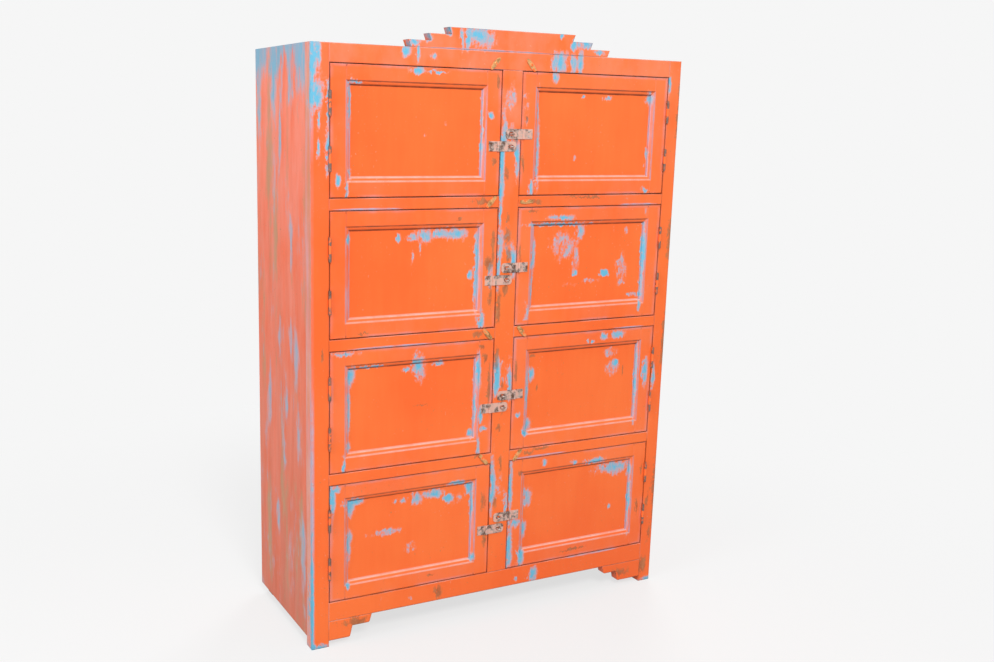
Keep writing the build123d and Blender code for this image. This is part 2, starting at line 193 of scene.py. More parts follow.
class CupboardStage(bpy.types.PropertyGroup):
    """Floor, light and camera."""

    backdrop: colour("Backdrop", "Pale floor and background", "#F6F6F6")
    paper: colour("Paper", "Tone of the floor where light and shadow fall on it", "#DEDEDE")
    bounce: colour("Bounce", "Tone with which the floor lights the cupboard", "#B4B4B4")
    floor_radius: length("Floor radius", "Radius of the floor", 9000)
    shade_near: length("Shadow near", "Distance within which the shadow on the floor shows in full", 900)
    shade_far: length("Shadow far", "Distance at which the shadow on the floor has faded", 2200)
    shade: plain("Shadow", "Share of light and shadow in the floor's tone", 0.24)
    sky: plain("Sky", "Strength of the even light from all round", 0.48)
    key: power("Key", "Power of the soft light above the front", 255.0)
    fill: power("Fill", "Power of the soft light on the left", 85.0)
    rear: power("Rear", "Power of the soft light behind", 170.0)
    lens: plain("Lens", "Focal length on a 36 mm sensor, in millimetres", 39.40)
    eye: FloatVectorProperty(
        name="Eye", description="Place of the camera", default=(-1.4797, -2.6840, 1.3722),
        subtype="TRANSLATION",
    )
    heading: angle("Heading", "Turn of the camera about the vertical", -27.478)
    tilt: angle("Tilt", "Tilt of the camera, down is negative", -11.704)
    roll: angle("Roll", "Lean of the camera", 1.256)
    shift: FloatVectorProperty(
        name="Shift", description="Shift of the frame, as a share of its width", size=2,
        default=(0.0564, 0.0139),
    )


# Wear on the doors, in millimetres from the middle of each opening, to the right and up.
# Each place is (across, up, half width, half height). Blue shows in the chips, dull blue strokes
# in the scrapes, and wood or grime in the rubs.
DOOR_WEAR = {
    "top_left": {
        "chips": [
            (-6, 149, 19, 7), (-170, 118, 18, 4), (-183, 70, 4, 46), (-184, -100, 6, 15),
            (-193, -140, 4, 20), (184, 10, 3, 62), (207, 48, 6, 9), (-215, -120, 6, 12), (48, 149, 24, 3),
        ],
        "scrapes": [(82, 24, 7, 11), (24, -9, 7, 7)],
        "rubs": [(222, -70, 6, 10), (226, 130, 5, 20)],
    },
    "upper_left": {
        "chips": [
            (-49, 89, 7, 10), (-9, 89, 12, 9), (27, 92, 21, 15), (67, 97, 19, 10), (118, 95, 28, 12),
            (-7, 42, 4, 17), (14, 62, 3, 15), (180, 15, 6, 90), (160, -14, 7, 9), (196, -138, 7, 20),
            (-186, 90, 5, 14),
        ],
        "scrapes": [(220, -20, 12, 60)],
        "rubs": [
            (-146, -150, 16, 4), (214, 15, 13, 18), (221, -75, 6, 34), (120, 135, 10, 8),
            (226, 60, 6, 50),
        ],
    },
    "lower_left": {
        "chips": [
            (18, 98, 16, 30), (-19, 96, 9, 6), (73, 105, 12, 5), (-177, 92, 10, 22), (-183, 0, 5, 64),
            (-183, -95, 7, 16), (-198, -142, 4, 20), (191, 68, 7, 46), (184, -20, 3, 60),
            (176, -100, 10, 11), (198, -140, 5, 20), (203, -45, 5, 20), (212, -88, 9, 6),
            (-196, 152, 26, 5), (-120, 112, 40, 3),
        ],
        "rubs": [(212, 110, 8, 14), (200, 142, 10, 6), (30, -5, 22, 2), (226, 40, 5, 60)],
    },
    "bottom_left": {
        "chips": [
            (-228, 120, 8, 40), (-222, 148, 13, 9), (-165, 105, 26, 8), (-177, 88, 12, 24),
            (-181, -15, 6, 50), (-180, 10, 9, 20), (18, 88, 14, 16), (68, 95, 26, 11), (-25, 86, 9, 7),
            (-48, 90, 6, 5), (111, 78, 11, 8), (177, 100, 10, 15), (135, 118, 22, 6), (184, 45, 4, 34),
            (190, -106, 9, 12), (-187, -122, 6, 11),
        ],
        "scrapes": [(-75, 6, 72, 14), (6, -46, 34, 22), (130, 70, 40, 26)],
        "rubs": [(220, 55, 10, 28), (60, -135, 10, 3), (226, -60, 5, 30)],
    },
    "top_right": {
        "chips": [
            (-180, -50, 6, 74), (-184, 60, 3, 40), (178, 100, 12, 13), (181, -55, 5, 18), (41, 99, 10, 7),
            (-40, 99, 6, 5), (-135, 148, 9, 12), (-201, -142, 6, 18), (176, -150, 10, 6),
        ],
        "scrapes": [(-222, 70, 10, 70), (-60, -60, 7, 12)],
        "rubs": [(-222, 40, 6, 10), (-226, -80, 5, 30)],
    },
    "upper_right": {
        "chips": [
            (-96, 130, 36, 6), (-100, 112, 84, 4), (-28, 90, 10, 18), (-40, -24, 5, 6), (60, -30, 10, 5),
            (186, 0, 5, 104), (-180, 20, 6, 36), (-184, -60, 3, 52), (-198, -130, 6, 18),
            (180, -128, 5, 16),
        ],
        "scrapes": [
            (-88, 50, 60, 56), (-40, 10, 20, 60), (118, -20, 30, 70), (-52, -57, 44, 8), (10, -49, 44, 8),
            (60, -30, 24, 16), (83, 93, 9, 16), (124, 88, 12, 18), (130, -42, 9, 40), (160, -96, 30, 8),
        ],
        "rubs": [(-190, 148, 20, 5), (-226, 30, 5, 40)],
    },
    "lower_right": {
        "chips": [
            (67, 140, 11, 10), (114, 142, 20, 11), (26, 130, 5, 5), (8, 130, 4, 5), (-186, -5, 5, 62),
            (-180, -92, 10, 17), (-189, -116, 9, 8), (216, 25, 9, 36), (186, -10, 4, 92),
            (-172, 50, 8, 14), (-215, -60, 8, 6), (116, 62, 6, 6),
        ],
        "scrapes": [(96, 92, 36, 20), (104, 42, 34, 34)],
        "rubs": [(-172, 101, 13, 8), (142, 30, 3, 18), (-150, 10, 4, 9), (-226, 60, 5, 30)],
    },
    "bottom_right": {
        "chips": [
            (122, 93, 50, 15), (182, 84, 7, 25), (52, 125, 28, 7), (-172, 45, 14, 25), (-180, -52, 8, 24),
            (-184, 0, 4, 64), (-231, 70, 6, 84), (-229, -95, 9, 66), (-189, -130, 9, 29),
            (-120, 140, 8, 9), (-17, 130, 8, 6), (-210, -25, 15, 10), (186, -20, 4, 70), (120, -30, 5, 6),
        ],
        "rubs": [(-6, -139, 50, 5), (225, 75, 4, 26), (215, -40, 4, 30), (-200, 120, 8, 10)],
    },
}

# Wear on the case, in millimetres from the middle of the front's floor line, to the right and up
CASE_WEAR = {
    "posts": {
        "haze": 0.15,
        "chips": [
            (-531, 1418, 14, 36), (-531, 1516, 7, 32), (-528, 1368, 4, 20), (-529, 1302, 4, 16),
            (-505, 1400, 4, 42), (-505, 1288, 5, 40), (-530, 3, 30, 8), (-540, 1500, 7, 34),
            (540, 4, 16, 8), (520, 645, 5, 26), (516, 1480, 4, 20), (-549, 120, 3, 90),
        ],
        "rubs": [
            (549, 1053, 9, 60), (549, 758, 10, 110), (549, 287, 10, 94), (520, 52, 16, 32),
            (525, 260, 6, 30), (-520, 790, 4, 20), (540, 150, 8, 20), (548, 1400, 4, 70),
        ],
    },
    "rails": {
        "haze": 0.3,
        "lines": [
            (-400, 1151, 100, 3), (430, 1151, 70, 3), (-330, 799, 130, 3), (130, 449, 100, 3),
            (-60, 1499, 120, 2), (330, 122, 110, 3), (420, 799, 60, 2), (-60, 1546, 200, 3),
        ],
        "chips": [
            (-92, 1581, 30, 22), (-279, 1557, 16, 9), (190, 1572, 9, 13), (228, 1576, 22, 9),
            (-147, 1565, 5, 22), (-128, 1568, 6, 22), (150, 1590, 6, 6), (-300, 1534, 12, 12),
            (-268, 1530, 7, 17), (-225, 1526, 7, 7), (150, 1525, 22, 25), (190, 1521, 12, 18),
            (212, 1526, 9, 26), (128, 92, 13, 21), (70, 90, 6, 6), (-265, 92, 4, 4), (-296, 1551, 8, 9),
            (-240, 1570, 8, 9), (-184, 1588, 8, 9), (270, 1556, 16, 5),
        ],
        "rubs": [
            (-75, 1164, 28, 8), (92, 1163, 24, 8), (-75, 812, 16, 10), (96, 461, 20, 7),
            (-180, 95, 12, 24), (-418, 57, 52, 13), (440, 42, 30, 16), (250, 1172, 60, 3),
            (-70, 470, 14, 6), (140, 470, 30, 5),
        ],
    },
    "centre_stile": {
        "haze": 0.4,
        "scrapes": [
            (4, 1440, 20, 50), (4, 1340, 22, 50), (4, 1060, 22, 70), (0, 700, 22, 60), (2, 380, 22, 60),
        ],
        "chips": [
            (-19, 1290, 7, 105), (26, 1275, 7, 44), (-21, 1130, 4, 34), (-20, 1010, 6, 66),
            (26, 1000, 7, 34), (-18, 690, 7, 44), (26, 670, 6, 54), (-19, 380, 6, 74), (26, 322, 6, 26),
            (-21, 1190, 4, 26),
        ],
        "rubs": [
            (5, 1075, 15, 34), (8, 1020, 10, 20), (4, 668, 6, 14), (-18, 740, 8, 40), (-16, 880, 7, 60),
            (6, 440, 6, 30), (20, 1330, 8, 26), (-10, 330, 10, 18), (-4, 1240, 10, 24), (6, 1120, 9, 16),
            (2, 930, 10, 22), (8, 600, 9, 26), (-4, 545, 8, 14), (4, 260, 10, 22),
        ],
    },
}
CASE_NODES = {
    "posts": ("front_left_post", "front_right_post"),
    "rails": ("crest_board", "top_rail", "mid_rails", "bottom_rail", "foot_brackets"),
    "centre_stile": ("centre_stile",),
}

# Wear on the sides, in millimetres from the middle of the floor, to the back and up
SIDE_WEAR = {
    "chips": [
        (72, 1424, 20, 60), (9, 1431, 12, 46), (-54, 804, 12, 40), (-150, 1480, 20, 60),
        (190, 1420, 14, 90), (-20, 620, 12, 50), (60, 300, 12, 40), (-110, 560, 14, 60),
        (-60, 1060, 10, 60), (-140, 250, 14, 80), (40, 800, 12, 44), (-90, 760, 12, 60),
        (20, 1330, 8, 60), (0, 480, 14, 50), (120, 640, 10, 70),
    ],
    "rubs": [
        (110, 1260, 26, 120), (60, 1080, 14, 90), (-60, 1010, 14, 60), (170, 760, 20, 160),
        (20, 420, 16, 140), (-130, 330, 14, 90), (140, 240, 24, 150),
    ],
}


def add(tree, kind, inputs=None, out=0, **settings):
    """Adds a node with its settings, links or sets its inputs, and gives one of its outputs."""
    node = tree.nodes.new("ShaderNode" + kind)
    for key, value in settings.items():
        setattr(node, key, value)
    for key, value in (inputs or {}).items():
        socket = node.inputs[key]
        if isinstance(value, bpy.types.NodeSocket):
            tree.links.new(value, socket)
        else:
            socket.default_value = (*value, 1) if socket.type == "RGBA" else value
    return node.outputs[out] if node.outputs else node


def blank_material(name):
    """Material with an empty tree."""
    material = bpy.data.materials.new(name)
    material.use_nodes = True
    material.node_tree.nodes.clear()
    return material, material.node_tree


def finished(material, tree, skin, coats, relief, finish):
    """Closes a material: coats laid over its skin in turn, then its relief and its finish.

    A coat is how far it covers and its colour. The relief is a bump's inputs, the finish the shader's.
    """
    for cover, coat in coats:
        skin = add(tree, "Mix", {0: cover, 6: skin, 7: coat}, 2, data_type="RGBA")
    normal = add(tree, "Bump", relief)
    surface = add(tree, "BsdfPrincipled", {"Base Color": skin, "Normal": normal, **finish})
    add(tree, "OutputMaterial", {"Surface": surface})
    return material


def weighed(tree, start, *terms):
    """A start plus each term, which is a value and its weight."""
    total = start
    for value, weight in terms:
        total = add(tree, "Math", {0: value, 1: weight, 2: total}, operation="MULTIPLY_ADD")
    return total


def rubbed_edge(tree, radius):
    """The normal averaged over a radius, and how far it leaves the face's own: 1 on a square edge."""
    rounded = add(tree, "Bevel", {"Radius": radius}, samples=4)
    flat = add(tree, "NewGeometry", out="Normal")
    turn = add(tree, "VectorMath", {0: rounded, 1: flat}, "Value", operation="DOT_PRODUCT")
    return rounded, add(tree, "MapRange", {0: turn, 1: 1.0, 2: 0.78})


def outward(tree, place):
    """A point's distance from the middle of the case, as far as its face looks away from there."""
    normal = add(tree, "TexCoord", out="Normal")
    distance, look = [add(tree, "SeparateXYZ", {0: socket}, "X") for socket in (place, normal)]
    return weighed(tree, 0.0, (distance, look))


def drifted(tree, place, stretched, reach):
    """A place moved about by noise, so that no patch has a plain oval outline.

    The reach is in sizes of the nicks along a flake's edge.
    """
    size = bpy.context.scene.cupboard_paint.ragged
    noise = {"Vector": stretched, "Scale": 1 / size, "Detail": 4.0, "Roughness": 0.7}
    noise = add(tree, "TexNoise", noise, "Color")
    swirl = add(tree, "VectorMath", {0: noise, 1: (-0.5,) * 3}, operation="ADD")
    step = tuple(size * share for share in reach)
    return add(tree, "VectorMath", {0: swirl, 1: step, 2: place}, operation="MULTIPLY_ADD")


def patch_wear(tree, place, patches, origin, rise, plane="XZ"):
    """Wear that the nearest of the oval patches gives a point.

    The depth in a patch is 1 in its middle, 0 on its rim and less outside. Wear grows from 0 to its most
    between two depths, and the rise gives those three.
    """
    nearest = FAR_OUTSIDE
    for across, up, half_width, half_height in patches:
        if plane == "XZ":
            middle, half = (across, 0, up), (half_width, PATCH_DEPTH, half_height)
        else:
            middle, half = (0, across, up), (np.inf, half_width, half_height)
        scale = 1 / (np.array(half) * MM)
        offset = -scale * (origin + np.array(middle) * MM)
        local = add(tree, "VectorMath", {0: place, 1: scale, 2: offset}, operation="MULTIPLY_ADD")
        reach = add(tree, "VectorMath", {0: local}, "Value", operation="LENGTH")
        nearest = add(tree, "Math", {0: reach, 1: nearest}, operation="MINIMUM")
    start, full, most = rise
    return add(tree, "MapRange", {0: weighed(tree, 1.0, (nearest, -1.0)), 1: start, 2: full, 4: most})


def rubbed_corner(tree, place):
    """How far the left front corner of the case is rubbed: all the way down, least at its calm height."""
    paint = bpy.context.scene.cupboard_paint
    x, y, z = [add(tree, "SeparateXYZ", {0: place}, axis) for axis in "XYZ"]
    side, face = [
        add(tree, "MapRange", {0: value, 1: start + 1.2 * paint.corner, 2: start + 0.6 * paint.corner})
        for value, start in ((x, -HALF_WIDTH), (y, FRONT))
    ]
    away = add(tree, "Math", {0: weighed(tree, -paint.calm, (z, 1.0))}, operation="ABSOLUTE")
    rubbed = add(tree, "MapRange", {0: away, 1: paint.calm_near, 2: paint.calm_far, 3: 0.12})
    return weighed(tree, 0.0, (weighed(tree, 0.0, (side, face)), rubbed))


def moulding_lines(tree, place, origin, half, spell):
    """Wear along the moulding round a door's panel, with painted shadow and painted highlight.

    Gives the dark line under the top rail, which is a painted shadow, the pale one on the bottom rail, worn
    and partly a painted highlight, and the dull ones at the stiles, then the rim of the door, where its gap
    gets grime and painted shade, and the flat face of its frame.
    """
    paint = bpy.context.scene.cupboard_paint
    centred = add(tree, "VectorMath", {0: place, 1: -origin}, operation="ADD")
    size = add(tree, "VectorMath", {0: centred}, operation="ABSOLUTE")
    face = np.array([paint.stile_face, 0, paint.rail_face])
    start = face + paint.moulding - np.where(np.isinf(half), 0, half)
    beyond = add(tree, "VectorMath", {0: size, 1: start}, operation="ADD")
    beyond_x, beyond_z = [add(tree, "SeparateXYZ", {0: beyond}, axis) for axis in "XZ"]
    out = add(tree, "Math", {0: beyond_x, 1: beyond_z}, operation="MAXIMUM")
    line = 0.0
    for edge, strength in ((0.0, 1.0), (paint.moulding, 0.6)):
        away = add(tree, "Math", {0: weighed(tree, -edge, (out, 1.0))}, operation="ABSOLUTE")
        away = add(tree, "MapRange", {0: away, 1: 1.5 * paint.line, 2: 0.6 * paint.line, 4: strength})
        line = add(tree, "Math", {0: away, 1: line}, operation="MAXIMUM")

    # Between its two lines the upright moulding is rubbed in stretches
    middle = 0.5 * paint.moulding
    between = add(tree, "Math", {0: weighed(tree, -middle, (out, 1.0))}, operation="ABSOLUTE")
    between = add(tree, "MapRange", {0: between, 1: middle + paint.line, 2: middle})
    rubbed = weighed(tree, 0.0, (between, weighed(tree, 0.12, (spell, 0.5))))
    upright = add(tree, "Math", {0: rubbed, 1: line}, operation="MAXIMUM")

    beside = weighed(tree, 0.0, (beyond_x, 1.0), (beyond_z, -1.0))
    beside = add(tree, "MapRange", {0: beside, 1: -1 * MM, 2: 1 * MM})
    upper = add(tree, "SeparateXYZ", {0: centred}, "Z")
    upper = add(tree, "MapRange", {0: upper, 1: -10 * MM, 2: 10 * MM})
    level = weighed(tree, 0.0, (line, weighed(tree, 1.0, (beside, -1.0))))
    above = weighed(tree, 0.0, (level, upper))
    below = weighed(tree, level, (above, -1.0))
    dull = weighed(tree, 0.0, (upright, beside))
    share = add(tree, "VectorMath", {0: size, 1: 1 / half}, operation="MULTIPLY")
    share_x, share_z = [add(tree, "SeparateXYZ", {0: share}, axis) for axis in "XZ"]
    rim = add(tree, "Math", {0: share_x, 1: share_z}, operation="MAXIMUM")
    rim = add(tree, "MapRange", {0: rim, 1: 0.95, 2: 0.98})
    flat = add(tree, "MapRange", {0: out, 1: middle, 2: paint.moulding})
    return above, below, dull, rim, flat


def worn_paint(name, origin, chips, rubs, scrapes=(), lines=(), half=None, haze=0.1):
    """Oil paint brushed on timber by hand: a satin orange coat over an older sky-blue one over brown wood.

    The eye sees ragged flakes where the orange has come away, a pale halo where it is rubbed thin, pale
    wear with a painted highlight on the edges that face up, dull lilac on the upright ones, and dark grime
    with painted shade below, in the corners, under the top rail and in the gaps round the doors.
    """
    paint = bpy.context.scene.cupboard_paint
    material, tree = blank_material(name)
    place = add(tree, "TexCoord", out="Object")
    tall, strokes = [
        add(tree, "VectorMath", {0: place, 1: (1, 1, squeeze)}, operation="MULTIPLY")
        for squeeze in (0.5, 0.1)
    ]
    flake, ragged, nick, cloud, spell, brush = [
        add(tree, "TexNoise", {"Vector": vector, "Scale": 1 / size, "Detail": detail, "Roughness": rough})
        for vector, size, detail, rough in (
            (tall, paint.flake, 6.0, 0.6), (tall, paint.ragged, 6.0, 0.7), (place, paint.nick, 2.0, 0.5),
            (place, paint.cloud, 3.0, 0.5), (place, paint.spell, 5.0, 0.5),
            (strokes, paint.brush, 3.0, 0.5),
        )
    ]
    grit = weighed(tree, -3.4, (flake, 2.6), (ragged, 3.2), (nick, 1.0))
    patchy = add(tree, "MapRange", {0: flake, 1: 0.35, 2: 0.6, 3: 0.25})
    spell = add(tree, "MapRange", {0: spell, 1: 0.42, 2: 0.6})

    # The back of a door has only the blue coat, rubbed down to the wood in places
    rounded, edge = rubbed_edge(tree, paint.edge)
    back = add(tree, "SeparateXYZ", {0: add(tree, "TexCoord", out="Normal")}, "Y")
    back = add(tree, "MapRange", {0: back, 1: 0.4, 2: 0.7})
    fore = weighed(tree, 1.0, (back, -1.0))
    drift = drifted(tree, place, tall, (2, 0, 2.5))
    chip = patch_wear(tree, drift, chips, origin, (-1.2, 1.0, 2.65))
    rub = patch_wear(tree, drift, rubs, origin, (-1.2, 0.6, 2.2))
    scrape = patch_wear(tree, drift, scrapes, origin, (-0.1, 0.4, 1.12))
    loss = weighed(tree, -1.5, (grit, 1.0), (chip, fore), (edge, 0.5), (scrape, fore))
    bareness = weighed(tree, -1.6, (grit, 1.0), (rub, 1.0), (edge, 0.4), (back, 1.0))

    # Edges that face up are rubbed pale, with a painted highlight; those that face down get grime and
    # painted shade
    tilt = add(tree, "SeparateXYZ", {0: rounded}, "Z")
    up, down = [
        weighed(tree, 0.0, (add(tree, "MapRange", {0: tilt, 1: 0.05 * sign, 2: 0.3 * sign}), edge))
        for sign in (1, -1)
    ]
    # Painted shade with grime: the ambient occlusion darkens the concave corners
    corner_shade_and_grime = add(tree, "AmbientOcclusion", {"Distance": paint.corner_shade_and_grime}, "AO", samples=4)
    corner_shade_and_grime = add(tree, "MapRange", {0: corner_shade_and_grime, 1: 0.8, 2: 0.35})
    if half is None:
        # The rails' edges are worn in long stretches, and between them, away from the case's sides,
        # darkened with grime and painted shade along the gaps round the doors
        worn = weighed(tree, 0.0, (edge, spell))
        x, z = [add(tree, "SeparateXYZ", {0: place}, axis) for axis in "XZ"]
        across = add(tree, "Math", {0: x}, operation="ABSOLUTE")
        inner = add(tree, "MapRange", {0: across, 1: HALF_WIDTH - 5 * MM, 2: HALF_WIDTH - 15 * MM, 4: 0.6})
        corner = rubbed_corner(tree, place)
        loss = weighed(tree, loss, (corner, 1.25))
        # Grime and painted shade: darker in the corners, under edges that face down and on the edges round
        # the openings
        grime_and_shade = weighed(tree, 0.0, (corner_shade_and_grime, 0.35), (down, 0.5), (edge, inner), (worn, -0.7))
        # Pale wear on edges that face up, lightened further as a painted highlight
        pale = weighed(tree, 0.0, (up, 0.7), (worn, 0.35))
        line = patch_wear(tree, place, lines, origin, (0.0, 0.3, 1.2))
        dull = weighed(tree, line, (worn, 0.45), (corner, 1.2))
        hazy = add(tree, "MapRange", {0: z, 1: paint.haze_low, 2: paint.haze_high})
    else:
        above, below, beside, rim, hazy = moulding_lines(tree, place, origin, half, spell)
        # Grime and painted shade: darker in the corners, a painted shadow under the top rail, under edges
        # that face down and along the gap round the door
        gap = add(tree, "MapRange", {0: edge, 2: 0.5})
        grime_and_shade = weighed(tree, 0.0, (corner_shade_and_grime, 0.15), (above, 0.65), (down, 0.4), (rim, gap), (up, -0.8))
        # Pale wear with a painted highlight on edges that face up and on the bottom rail's lines
        pale = weighed(tree, 0.0, (up, 0.4), (below, 0.9))
        rubbed = weighed(tree, 0.0, (rim, spell))
        dull = weighed(tree, 0.0, (edge, 0.25), (beside, 1.2), (rubbed, 0.35))
    grime_and_shade, dull, pale = [
        weighed(tree, 0.0, (wear, weighed(tree, least, (patchy, more))))
        for wear, least, more in ((grime_and_shade, 0.35, 0.65), (dull, 0.1, 0.8), (pale, 0.5, 0.5))
    ]

    # The coat is thicker in some brush strokes than in others, and bleached where it faces the sun
    depth = add(tree, "MapRange", {0: weighed(tree, 0.0, (cloud, 0.85), (brush, 0.15)), 1: 0.38, 2: 0.62})
    skin = add(tree, "Mix", {0: depth, 6: paint.top_coat, 7: paint.top_coat_deep}, 2, data_type="RGBA")
    if half is None:
        dusty = weighed(tree, -0.55, (patchy, 0.3), (brush, 1.2))
        bluish = weighed(tree, 0.75, (brush, -1.2))
        faded = paint.bleached
        for cover, coat in ((spell, paint.bleached_pale), (dusty, paint.tan), (bluish, paint.smudge)):
            faded = add(tree, "Mix", {0: cover, 6: faded, 7: coat}, 2, data_type="RGBA")
        sunny = add(tree, "MapRange", {0: outward(tree, place), 1: 300 * MM, 2: 500 * MM})
        skin = add(tree, "Mix", {0: sunny, 6: skin, 7: faded}, 2, data_type="RGBA")

    # It is rubbed thin round the flakes, with a lilac halo
    thin = add(tree, "MapRange", {0: loss, 1: -0.75, 2: 0.0, 4: 0.55})
    hazy = weighed(tree, 0.0, (hazy, haze))
    thin = weighed(tree, thin, (hazy, weighed(tree, -0.2, (patchy, 0.7), (spell, 0.7))))
    halo = add(tree, "MapRange", {0: loss, 1: -0.45, 2: -0.05, 4: 0.6}, interpolation_type="SMOOTHSTEP")
    dull = add(tree, "Math", {0: dull, 1: halo}, operation="MAXIMUM")

    # Small nicks are pale where they have taken the top of the coat, and dark where dirt filled them
    busy = add(tree, "MapRange", {0: spell, 1: 0.2, 2: 0.9, 3: 0.1, 4: 0.6})
    struck, speck = [
        weighed(tree, 0.0, (add(tree, "MapRange", {0: nick, 1: start, 2: full}), busy))
        for start, full in ((0.68, 0.76), (0.31, 0.25))
    ]

    # Where the orange is gone there is blue, grey at the rims of a flake, and wood where that is gone too
    clean = weighed(tree, 0.0, (loss, 0.8), (cloud, 0.3), (ragged, 0.5), (back, 2.15))
    clean = add(tree, "MapRange", {0: clean, 1: 0.55, 2: 1.1})
    blue = add(tree, "Mix", {0: clean, 6: paint.under_coat_grey, 7: paint.under_coat}, 2, data_type="RGBA")
    loss = weighed(tree, loss, (back, 4.0))
    gone = add(tree, "MapRange", {0: loss, 1: -0.12, 2: 0.2}, interpolation_type="SMOOTHSTEP")
    old = add(tree, "MapRange", {0: ragged, 1: 0.35, 2: 0.65})
    wood = add(tree, "Mix", {0: old, 6: paint.bare_dark, 7: paint.bare}, 2, data_type="RGBA")
    rise = {0: bareness, 1: -0.3, 2: 0.7, 4: 0.72}
    stripped = add(tree, "MapRange", rise, interpolation_type="SMOOTHSTEP")
    coats = (
        (thin, paint.thin_coat), (dull, paint.edge_coat), (pale, paint.pale_coat),
        (struck, paint.thin_coat), (speck, paint.bare), (gone, blue), (stripped, wood), (grime_and_shade, paint.shade_and_grime_colour),
    )
    coat = weighed(tree, 1.0, (gone, -0.25), (stripped, -0.2), (brush, 0.1), (ragged, 0.1), (struck, -0.1))
    rough = weighed(tree, 0.38, (gone, 0.15), (stripped, 0.2), (brush, 0.1))
    relief = {"Height": coat, "Distance": 0.6 * MM, "Normal": rounded}
    finish = {"Roughness": rough, "Specular IOR Level": 0.4}
    return finished(material, tree, skin, coats, relief, finish)


def bleached_paint(name, chips, rubs):
    """The same oil paint on the outer sides, bleached to salmon by the sun and streaked down the boards.

    The eye sees soft upright blots of tan wood and grey-blue under coat, and solid blue runs from the
    top edge.
    """
    paint, wood = bpy.context.scene.cupboard_paint, bpy.context.scene.cupboard_wood
    material, tree = blank_material(name)
    place = add(tree, "TexCoord", out="Object")
    blots, streaks = [
        add(tree, "VectorMath", {0: place, 1: (1, 1, squeeze)}, operation="MULTIPLY")
        for squeeze in (0.3, 0.1)
    ]
    second, third = [
        add(tree, "VectorMath", {0: blots, 1: shift}, operation="ADD")
        for shift in ((3.1, 1.7, 2.3), (5.9, 4.3, 1.1))
    ]
    pale_blot, tan_blot, blue_blot, streak, narrow, ragged, nick = [
        add(tree, "TexNoise", {"Vector": vector, "Scale": 1 / size, "Detail": detail, "Roughness": rough})
        for vector, size, detail, rough in (
            (blots, paint.blot, 5.0, 0.6), (second, paint.blot, 5.0, 0.6), (third, paint.blot, 5.0, 0.6),
            (streaks, paint.blot, 5.0, 0.5), (streaks, paint.brush, 4.0, 0.5),
            (blots, paint.ragged, 4.0, 0.5), (place, paint.nick, 2.0, 0.5),
        )
    ]
    rounded, edge = rubbed_edge(tree, paint.edge)

    # The coat fades in streaks, and is darkened towards the floor as a painted shade
    height = add(tree, "SeparateXYZ", {0: place}, "Z")
    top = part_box("left_side_boards")[1].z
    floor_shade = add(tree, "MapRange", {0: height, 1: top, 2: 0.0})
    faded = add(tree, "MapRange", {0: weighed(tree, 0.0, (pale_blot, 0.6), (streak, 0.4)), 1: 0.4, 2: 0.6})
    dusty = weighed(tree, -0.42, (floor_shade, 0.7), (narrow, 0.25), (streak, 0.45))
    rub = patch_wear(tree, place, rubs, np.zeros(3), (-0.8, 0.6, 0.12), "YZ")
    tan = weighed(tree, rub, (tan_blot, 0.5), (streak, 0.35), (ragged, 0.15))
    tan = add(tree, "MapRange", {0: tan, 1: 0.52, 2: 0.68, 4: 0.74}, interpolation_type="SMOOTHSTEP")

    # Soft smudges of the blue, and runs of uneven length at the top
    drift = drifted(tree, place, blots, (0, 2, 7))
    chip = patch_wear(tree, drift, chips, np.zeros(3), (-0.9, 0.5, 1.0), "YZ")
    smudge = weighed(tree, 0.0, (blue_blot, 0.7), (ragged, 0.3), (chip, 0.2), (edge, 0.06))
    smudge = add(tree, "MapRange", {0: smudge, 1: 0.54, 2: 0.72, 4: 0.6}, interpolation_type="SMOOTHSTEP")
    run = weighed(tree, -7.0 * top - 3.12, (height, 7.0), (blue_blot, 4.0), (streak, 1.6), (ragged, 1.2))
    chip = weighed(tree, -2.55, (blue_blot, 1.2), (ragged, 1.9), (chip, 1.0), (edge, 0.4))
    loss = add(tree, "Math", {0: run, 1: chip}, operation="MAXIMUM")
    gone = add(tree, "MapRange", {0: loss, 1: -0.35, 2: 0.5, 4: 0.82}, interpolation_type="SMOOTHSTEP")
    clean = add(tree, "MapRange", {0: narrow, 1: 0.25, 2: 0.45})
    blue = add(tree, "Mix", {0: clean, 6: paint.under_coat_grey, 7: paint.under_coat}, 2, data_type="RGBA")
    speck = add(tree, "MapRange", {0: nick, 1: 0.3, 2: 0.24, 4: 0.6})

    # The inner faces were never painted
    inner = add(tree, "MapRange", {0: outward(tree, place), 1: -100 * MM, 2: -300 * MM})
    grain = add(tree, "MapRange", {0: narrow, 1: 0.36, 2: 0.64})
    bare = add(tree, "Mix", {0: grain, 6: wood.dark, 7: wood.pale}, 2, data_type="RGBA")
    coats = (
        (faded, paint.bleached_pale), (dusty, paint.dust), (tan, paint.tan), (smudge, paint.smudge),
        (gone, blue), (speck, paint.bare), (inner, bare),
    )
    lift = weighed(tree, 1.0, (narrow, 0.6), (gone, -0.3), (ragged, 0.12))
    rough = weighed(tree, 0.42, (narrow, 0.2), (gone, 0.1))
    relief = {"Height": lift, "Distance": 0.6 * MM, "Normal": rounded}
    finish = {"Roughness": rough, "Specular IOR Level": 0.4}
    return finished(material, tree, paint.bleached, coats, relief, finish)


